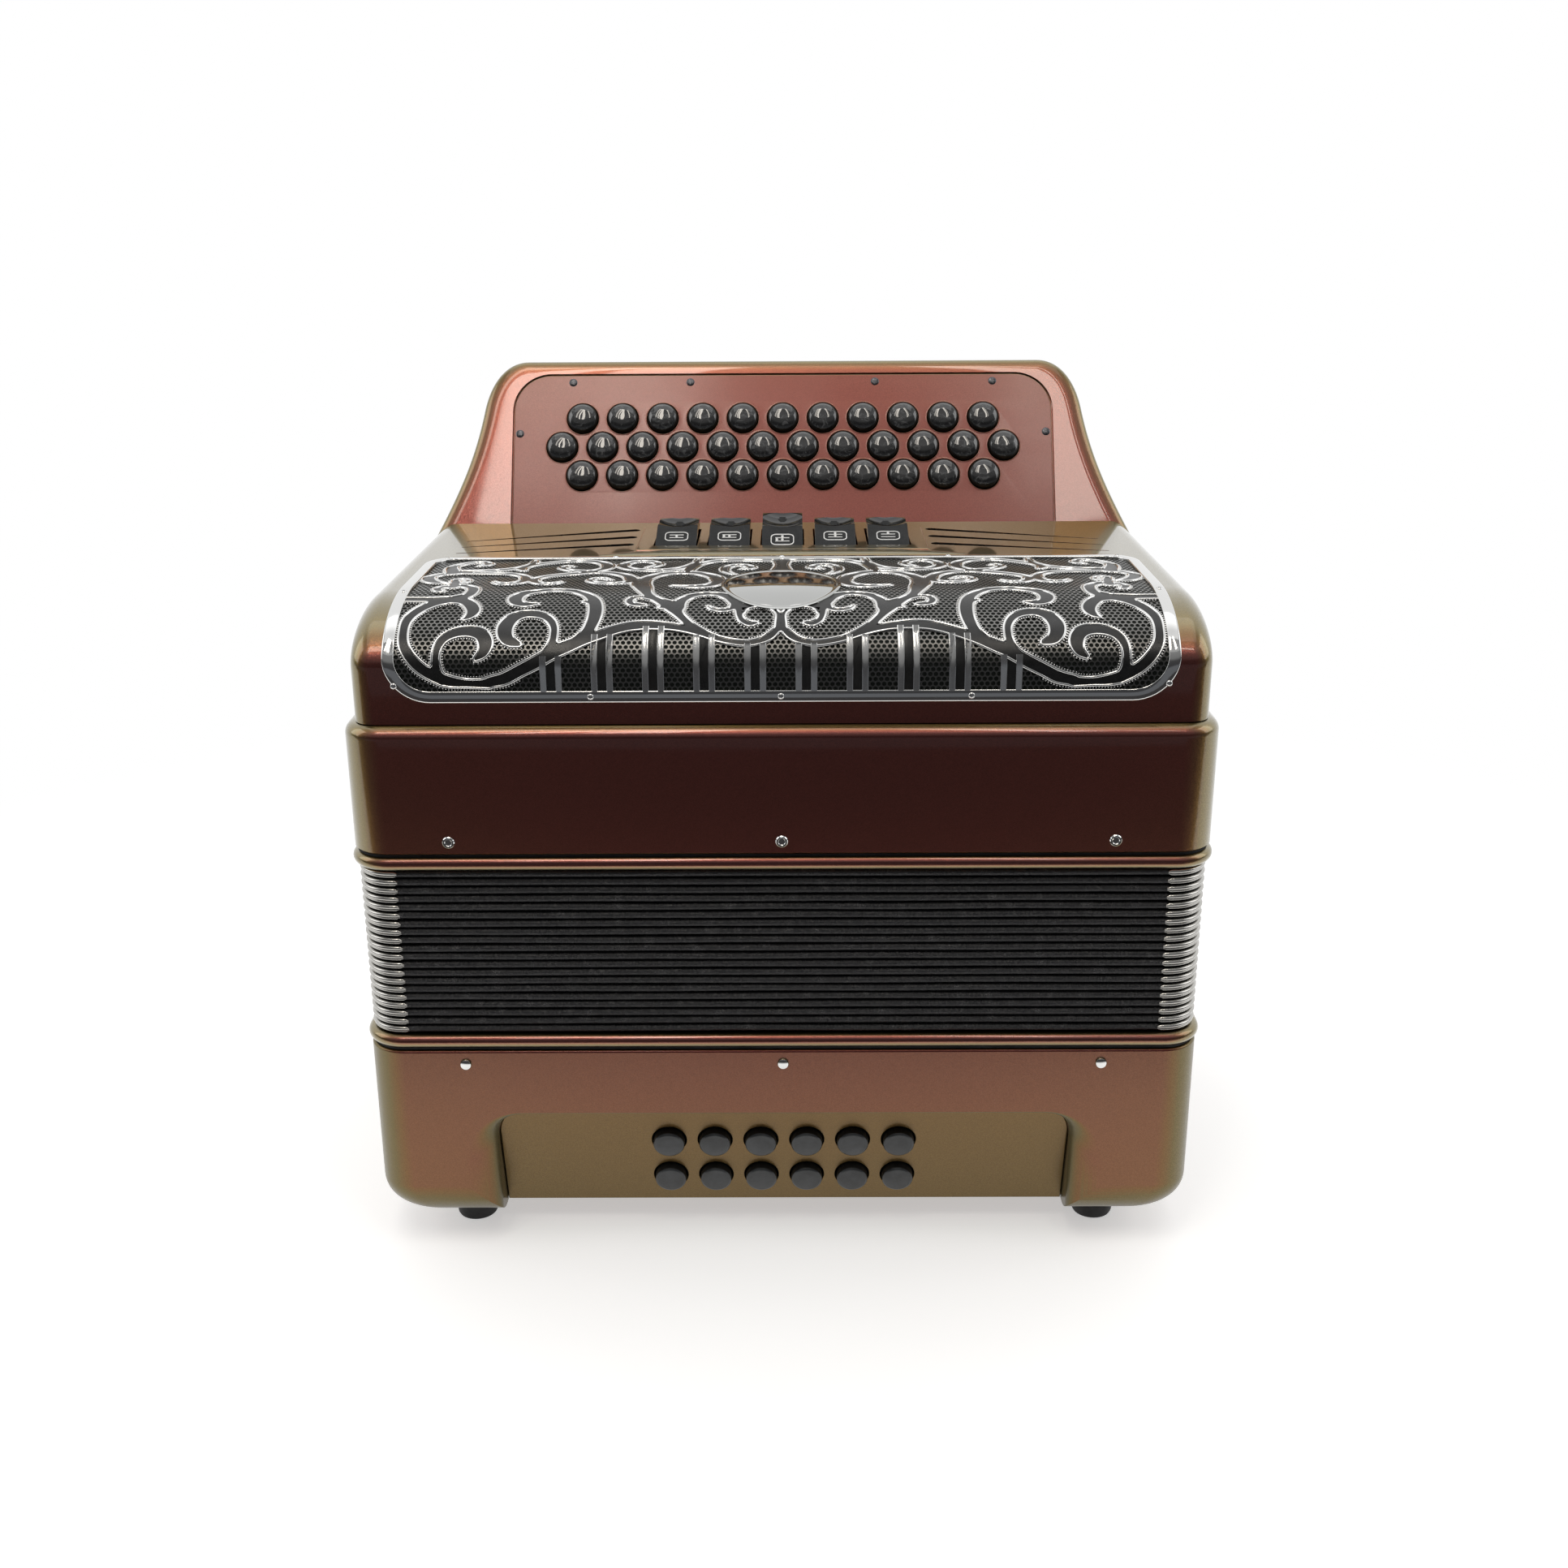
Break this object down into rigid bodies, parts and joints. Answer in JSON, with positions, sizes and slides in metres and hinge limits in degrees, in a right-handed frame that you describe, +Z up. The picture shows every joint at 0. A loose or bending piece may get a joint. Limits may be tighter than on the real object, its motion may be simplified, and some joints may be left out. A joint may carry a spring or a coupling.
{
  "type": "diatonic accordion",
  "caption": "Button accordion that stands on its bass side, with a domed-button treble keyboard, folding bellows, curved grille, register rockers and a recessed bass panel.",
  "frame": {"origin": "on the floor under the feet, under the middle of the whole object from side to side and from front to back", "axes": "+X along the keyboard to the right as seen from the grille, +Y from the grille side to the player side, +Z up through the bellows from the bass side to the treble side"},
  "size_m": [0.3458, 0.2556, 0.3483],
  "materials": {
    "bass_paint": "satin metallic lacquer",
    "panel_paint": "satin metallic lacquer",
    "bead_paint": "gloss metallic lacquer",
    "bellows_cloth": "matt grained",
    "body_paint": "gloss metallic lacquer",
    "cover_paint": "gloss metallic lacquer",
    "grille_chrome": "polished, with black ornament",
    "plate_paint": "gloss metallic lacquer",
    "treble_buttons": "pearl gloss",
    "bass_buttons": "satin",
    "register_switches": "gloss"
  },
  "bodies": {
    "bass_side": {"bass_casing": "bass_paint", "bass_button_panel": "panel_paint", "bass_bellows_frame": "bead_paint", "bellows": "bellows_cloth"},
    "treble_side": {"treble_bellows_frame": "bead_paint", "treble_body": "body_paint", "treble_casing": "cover_paint", "grille": "grille_chrome", "keyboard_plate": "plate_paint"},
    "treble_button_r1_01": {"treble_button_r1_01": "treble_buttons"},
    "treble_button_r1_02": {"treble_button_r1_02": "treble_buttons"},
    "treble_button_r1_03": {"treble_button_r1_03": "treble_buttons"},
    "treble_button_r1_04": {"treble_button_r1_04": "treble_buttons"},
    "treble_button_r1_05": {"treble_button_r1_05": "treble_buttons"},
    "treble_button_r1_06": {"treble_button_r1_06": "treble_buttons"},
    "treble_button_r1_07": {"treble_button_r1_07": "treble_buttons"},
    "treble_button_r1_08": {"treble_button_r1_08": "treble_buttons"},
    "treble_button_r1_09": {"treble_button_r1_09": "treble_buttons"},
    "treble_button_r1_10": {"treble_button_r1_10": "treble_buttons"},
    "treble_button_r1_11": {"treble_button_r1_11": "treble_buttons"},
    "treble_button_r2_01": {"treble_button_r2_01": "treble_buttons"},
    "treble_button_r2_02": {"treble_button_r2_02": "treble_buttons"},
    "treble_button_r2_03": {"treble_button_r2_03": "treble_buttons"},
    "treble_button_r2_04": {"treble_button_r2_04": "treble_buttons"},
    "treble_button_r2_05": {"treble_button_r2_05": "treble_buttons"},
    "treble_button_r2_06": {"treble_button_r2_06": "treble_buttons"},
    "treble_button_r2_07": {"treble_button_r2_07": "treble_buttons"},
    "treble_button_r2_08": {"treble_button_r2_08": "treble_buttons"},
    "treble_button_r2_09": {"treble_button_r2_09": "treble_buttons"},
    "treble_button_r2_10": {"treble_button_r2_10": "treble_buttons"},
    "treble_button_r2_11": {"treble_button_r2_11": "treble_buttons"},
    "treble_button_r2_12": {"treble_button_r2_12": "treble_buttons"},
    "treble_button_r3_01": {"treble_button_r3_01": "treble_buttons"},
    "treble_button_r3_02": {"treble_button_r3_02": "treble_buttons"},
    "treble_button_r3_03": {"treble_button_r3_03": "treble_buttons"},
    "treble_button_r3_04": {"treble_button_r3_04": "treble_buttons"},
    "treble_button_r3_05": {"treble_button_r3_05": "treble_buttons"},
    "treble_button_r3_06": {"treble_button_r3_06": "treble_buttons"},
    "treble_button_r3_07": {"treble_button_r3_07": "treble_buttons"},
    "treble_button_r3_08": {"treble_button_r3_08": "treble_buttons"},
    "treble_button_r3_09": {"treble_button_r3_09": "treble_buttons"},
    "treble_button_r3_10": {"treble_button_r3_10": "treble_buttons"},
    "treble_button_r3_11": {"treble_button_r3_11": "treble_buttons"},
    "bass_button_r1_01": {"bass_button_r1_01": "bass_buttons"},
    "bass_button_r1_02": {"bass_button_r1_02": "bass_buttons"},
    "bass_button_r1_03": {"bass_button_r1_03": "bass_buttons"},
    "bass_button_r1_04": {"bass_button_r1_04": "bass_buttons"},
    "bass_button_r1_05": {"bass_button_r1_05": "bass_buttons"},
    "bass_button_r1_06": {"bass_button_r1_06": "bass_buttons"},
    "bass_button_r2_01": {"bass_button_r2_01": "bass_buttons"},
    "bass_button_r2_02": {"bass_button_r2_02": "bass_buttons"},
    "bass_button_r2_03": {"bass_button_r2_03": "bass_buttons"},
    "bass_button_r2_04": {"bass_button_r2_04": "bass_buttons"},
    "bass_button_r2_05": {"bass_button_r2_05": "bass_buttons"},
    "bass_button_r2_06": {"bass_button_r2_06": "bass_buttons"},
    "register_switch_1": {"register_switch_1": "register_switches"},
    "register_switch_2": {"register_switch_2": "register_switches"},
    "register_switch_3": {"register_switch_3": "register_switches"},
    "register_switch_4": {"register_switch_4": "register_switches"},
    "register_switch_5": {"register_switch_5": "register_switches"}
  },
  "joints": [
    {"name": "bellows_draw", "type": "slide", "parent": "bass_side", "child": "treble_side", "axis": [0, 0, 1], "range_m": [0, 0.28], "deforming": ["bellows"]},
    {"name": "treble_button_r1_01_press", "type": "slide", "parent": "treble_side", "child": "treble_button_r1_01", "axis": [0, 0.8838, -0.4679], "range_m": [0, 0.0032], "stiffness_N_per_m": 150, "springref_m": -0.006},
    {"name": "treble_button_r1_02_press", "type": "slide", "parent": "treble_side", "child": "treble_button_r1_02", "axis": [0, 0.8838, -0.4679], "range_m": [0, 0.0032], "stiffness_N_per_m": 150, "springref_m": -0.006},
    {"name": "treble_button_r1_03_press", "type": "slide", "parent": "treble_side", "child": "treble_button_r1_03", "axis": [0, 0.8838, -0.4679], "range_m": [0, 0.0032], "stiffness_N_per_m": 150, "springref_m": -0.006},
    {"name": "treble_button_r1_04_press", "type": "slide", "parent": "treble_side", "child": "treble_button_r1_04", "axis": [0, 0.8838, -0.4679], "range_m": [0, 0.0032], "stiffness_N_per_m": 150, "springref_m": -0.006},
    {"name": "treble_button_r1_05_press", "type": "slide", "parent": "treble_side", "child": "treble_button_r1_05", "axis": [0, 0.8838, -0.4679], "range_m": [0, 0.0032], "stiffness_N_per_m": 150, "springref_m": -0.006},
    {"name": "treble_button_r1_06_press", "type": "slide", "parent": "treble_side", "child": "treble_button_r1_06", "axis": [0, 0.8838, -0.4679], "range_m": [0, 0.0032], "stiffness_N_per_m": 150, "springref_m": -0.006},
    {"name": "treble_button_r1_07_press", "type": "slide", "parent": "treble_side", "child": "treble_button_r1_07", "axis": [0, 0.8838, -0.4679], "range_m": [0, 0.0032], "stiffness_N_per_m": 150, "springref_m": -0.006},
    {"name": "treble_button_r1_08_press", "type": "slide", "parent": "treble_side", "child": "treble_button_r1_08", "axis": [0, 0.8838, -0.4679], "range_m": [0, 0.0032], "stiffness_N_per_m": 150, "springref_m": -0.006},
    {"name": "treble_button_r1_09_press", "type": "slide", "parent": "treble_side", "child": "treble_button_r1_09", "axis": [0, 0.8838, -0.4679], "range_m": [0, 0.0032], "stiffness_N_per_m": 150, "springref_m": -0.006},
    {"name": "treble_button_r1_10_press", "type": "slide", "parent": "treble_side", "child": "treble_button_r1_10", "axis": [0, 0.8838, -0.4679], "range_m": [0, 0.0032], "stiffness_N_per_m": 150, "springref_m": -0.006},
    {"name": "treble_button_r1_11_press", "type": "slide", "parent": "treble_side", "child": "treble_button_r1_11", "axis": [0, 0.8838, -0.4679], "range_m": [0, 0.0032], "stiffness_N_per_m": 150, "springref_m": -0.006},
    {"name": "treble_button_r2_01_press", "type": "slide", "parent": "treble_side", "child": "treble_button_r2_01", "axis": [0, 0.8838, -0.4679], "range_m": [0, 0.0032], "stiffness_N_per_m": 150, "springref_m": -0.006},
    {"name": "treble_button_r2_02_press", "type": "slide", "parent": "treble_side", "child": "treble_button_r2_02", "axis": [0, 0.8838, -0.4679], "range_m": [0, 0.0032], "stiffness_N_per_m": 150, "springref_m": -0.006},
    {"name": "treble_button_r2_03_press", "type": "slide", "parent": "treble_side", "child": "treble_button_r2_03", "axis": [0, 0.8838, -0.4679], "range_m": [0, 0.0032], "stiffness_N_per_m": 150, "springref_m": -0.006},
    {"name": "treble_button_r2_04_press", "type": "slide", "parent": "treble_side", "child": "treble_button_r2_04", "axis": [0, 0.8838, -0.4679], "range_m": [0, 0.0032], "stiffness_N_per_m": 150, "springref_m": -0.006},
    {"name": "treble_button_r2_05_press", "type": "slide", "parent": "treble_side", "child": "treble_button_r2_05", "axis": [0, 0.8838, -0.4679], "range_m": [0, 0.0032], "stiffness_N_per_m": 150, "springref_m": -0.006},
    {"name": "treble_button_r2_06_press", "type": "slide", "parent": "treble_side", "child": "treble_button_r2_06", "axis": [0, 0.8838, -0.4679], "range_m": [0, 0.0032], "stiffness_N_per_m": 150, "springref_m": -0.006},
    {"name": "treble_button_r2_07_press", "type": "slide", "parent": "treble_side", "child": "treble_button_r2_07", "axis": [0, 0.8838, -0.4679], "range_m": [0, 0.0032], "stiffness_N_per_m": 150, "springref_m": -0.006},
    {"name": "treble_button_r2_08_press", "type": "slide", "parent": "treble_side", "child": "treble_button_r2_08", "axis": [0, 0.8838, -0.4679], "range_m": [0, 0.0032], "stiffness_N_per_m": 150, "springref_m": -0.006},
    {"name": "treble_button_r2_09_press", "type": "slide", "parent": "treble_side", "child": "treble_button_r2_09", "axis": [0, 0.8838, -0.4679], "range_m": [0, 0.0032], "stiffness_N_per_m": 150, "springref_m": -0.006},
    {"name": "treble_button_r2_10_press", "type": "slide", "parent": "treble_side", "child": "treble_button_r2_10", "axis": [0, 0.8838, -0.4679], "range_m": [0, 0.0032], "stiffness_N_per_m": 150, "springref_m": -0.006},
    {"name": "treble_button_r2_11_press", "type": "slide", "parent": "treble_side", "child": "treble_button_r2_11", "axis": [0, 0.8838, -0.4679], "range_m": [0, 0.0032], "stiffness_N_per_m": 150, "springref_m": -0.006},
    {"name": "treble_button_r2_12_press", "type": "slide", "parent": "treble_side", "child": "treble_button_r2_12", "axis": [0, 0.8838, -0.4679], "range_m": [0, 0.0032], "stiffness_N_per_m": 150, "springref_m": -0.006},
    {"name": "treble_button_r3_01_press", "type": "slide", "parent": "treble_side", "child": "treble_button_r3_01", "axis": [0, 0.8838, -0.4679], "range_m": [0, 0.0032], "stiffness_N_per_m": 150, "springref_m": -0.006},
    {"name": "treble_button_r3_02_press", "type": "slide", "parent": "treble_side", "child": "treble_button_r3_02", "axis": [0, 0.8838, -0.4679], "range_m": [0, 0.0032], "stiffness_N_per_m": 150, "springref_m": -0.006},
    {"name": "treble_button_r3_03_press", "type": "slide", "parent": "treble_side", "child": "treble_button_r3_03", "axis": [0, 0.8838, -0.4679], "range_m": [0, 0.0032], "stiffness_N_per_m": 150, "springref_m": -0.006},
    {"name": "treble_button_r3_04_press", "type": "slide", "parent": "treble_side", "child": "treble_button_r3_04", "axis": [0, 0.8838, -0.4679], "range_m": [0, 0.0032], "stiffness_N_per_m": 150, "springref_m": -0.006},
    {"name": "treble_button_r3_05_press", "type": "slide", "parent": "treble_side", "child": "treble_button_r3_05", "axis": [0, 0.8838, -0.4679], "range_m": [0, 0.0032], "stiffness_N_per_m": 150, "springref_m": -0.006},
    {"name": "treble_button_r3_06_press", "type": "slide", "parent": "treble_side", "child": "treble_button_r3_06", "axis": [0, 0.8838, -0.4679], "range_m": [0, 0.0032], "stiffness_N_per_m": 150, "springref_m": -0.006},
    {"name": "treble_button_r3_07_press", "type": "slide", "parent": "treble_side", "child": "treble_button_r3_07", "axis": [0, 0.8838, -0.4679], "range_m": [0, 0.0032], "stiffness_N_per_m": 150, "springref_m": -0.006},
    {"name": "treble_button_r3_08_press", "type": "slide", "parent": "treble_side", "child": "treble_button_r3_08", "axis": [0, 0.8838, -0.4679], "range_m": [0, 0.0032], "stiffness_N_per_m": 150, "springref_m": -0.006},
    {"name": "treble_button_r3_09_press", "type": "slide", "parent": "treble_side", "child": "treble_button_r3_09", "axis": [0, 0.8838, -0.4679], "range_m": [0, 0.0032], "stiffness_N_per_m": 150, "springref_m": -0.006},
    {"name": "treble_button_r3_10_press", "type": "slide", "parent": "treble_side", "child": "treble_button_r3_10", "axis": [0, 0.8838, -0.4679], "range_m": [0, 0.0032], "stiffness_N_per_m": 150, "springref_m": -0.006},
    {"name": "treble_button_r3_11_press", "type": "slide", "parent": "treble_side", "child": "treble_button_r3_11", "axis": [0, 0.8838, -0.4679], "range_m": [0, 0.0032], "stiffness_N_per_m": 150, "springref_m": -0.006},
    {"name": "bass_button_r1_01_press", "type": "slide", "parent": "bass_side", "child": "bass_button_r1_01", "axis": [0, 0.9703, 0.2419], "range_m": [0, 0.003], "stiffness_N_per_m": 150, "springref_m": -0.006},
    {"name": "bass_button_r1_02_press", "type": "slide", "parent": "bass_side", "child": "bass_button_r1_02", "axis": [0, 0.9703, 0.2419], "range_m": [0, 0.003], "stiffness_N_per_m": 150, "springref_m": -0.006},
    {"name": "bass_button_r1_03_press", "type": "slide", "parent": "bass_side", "child": "bass_button_r1_03", "axis": [0, 0.9703, 0.2419], "range_m": [0, 0.003], "stiffness_N_per_m": 150, "springref_m": -0.006},
    {"name": "bass_button_r1_04_press", "type": "slide", "parent": "bass_side", "child": "bass_button_r1_04", "axis": [0, 0.9703, 0.2419], "range_m": [0, 0.003], "stiffness_N_per_m": 150, "springref_m": -0.006},
    {"name": "bass_button_r1_05_press", "type": "slide", "parent": "bass_side", "child": "bass_button_r1_05", "axis": [0, 0.9703, 0.2419], "range_m": [0, 0.003], "stiffness_N_per_m": 150, "springref_m": -0.006},
    {"name": "bass_button_r1_06_press", "type": "slide", "parent": "bass_side", "child": "bass_button_r1_06", "axis": [0, 0.9703, 0.2419], "range_m": [0, 0.003], "stiffness_N_per_m": 150, "springref_m": -0.006},
    {"name": "bass_button_r2_01_press", "type": "slide", "parent": "bass_side", "child": "bass_button_r2_01", "axis": [0, 0.9703, 0.2419], "range_m": [0, 0.003], "stiffness_N_per_m": 150, "springref_m": -0.006},
    {"name": "bass_button_r2_02_press", "type": "slide", "parent": "bass_side", "child": "bass_button_r2_02", "axis": [0, 0.9703, 0.2419], "range_m": [0, 0.003], "stiffness_N_per_m": 150, "springref_m": -0.006},
    {"name": "bass_button_r2_03_press", "type": "slide", "parent": "bass_side", "child": "bass_button_r2_03", "axis": [0, 0.9703, 0.2419], "range_m": [0, 0.003], "stiffness_N_per_m": 150, "springref_m": -0.006},
    {"name": "bass_button_r2_04_press", "type": "slide", "parent": "bass_side", "child": "bass_button_r2_04", "axis": [0, 0.9703, 0.2419], "range_m": [0, 0.003], "stiffness_N_per_m": 150, "springref_m": -0.006},
    {"name": "bass_button_r2_05_press", "type": "slide", "parent": "bass_side", "child": "bass_button_r2_05", "axis": [0, 0.9703, 0.2419], "range_m": [0, 0.003], "stiffness_N_per_m": 150, "springref_m": -0.006},
    {"name": "bass_button_r2_06_press", "type": "slide", "parent": "bass_side", "child": "bass_button_r2_06", "axis": [0, 0.9703, 0.2419], "range_m": [0, 0.003], "stiffness_N_per_m": 150, "springref_m": -0.006},
    {"name": "register_switch_1_rock", "type": "hinge", "parent": "treble_side", "child": "register_switch_1", "pos_m": [-0.048, 0.02601, 0.272], "axis": [1, 0, 0], "range_deg": [0, 8]},
    {"name": "register_switch_2_rock", "type": "hinge", "parent": "treble_side", "child": "register_switch_2", "pos_m": [-0.024, 0.02601, 0.272], "axis": [1, 0, 0], "range_deg": [0, 8]},
    {"name": "register_switch_3_rock", "type": "hinge", "parent": "treble_side", "child": "register_switch_3", "pos_m": [0, 0.02601, 0.272], "axis": [1, 0, 0], "range_deg": [-8, 0]},
    {"name": "register_switch_4_rock", "type": "hinge", "parent": "treble_side", "child": "register_switch_4", "pos_m": [0.024, 0.02601, 0.272], "axis": [1, 0, 0], "range_deg": [0, 8]},
    {"name": "register_switch_5_rock", "type": "hinge", "parent": "treble_side", "child": "register_switch_5", "pos_m": [0.048, 0.02601, 0.272], "axis": [1, 0, 0], "range_deg": [0, 8]}
  ]
}
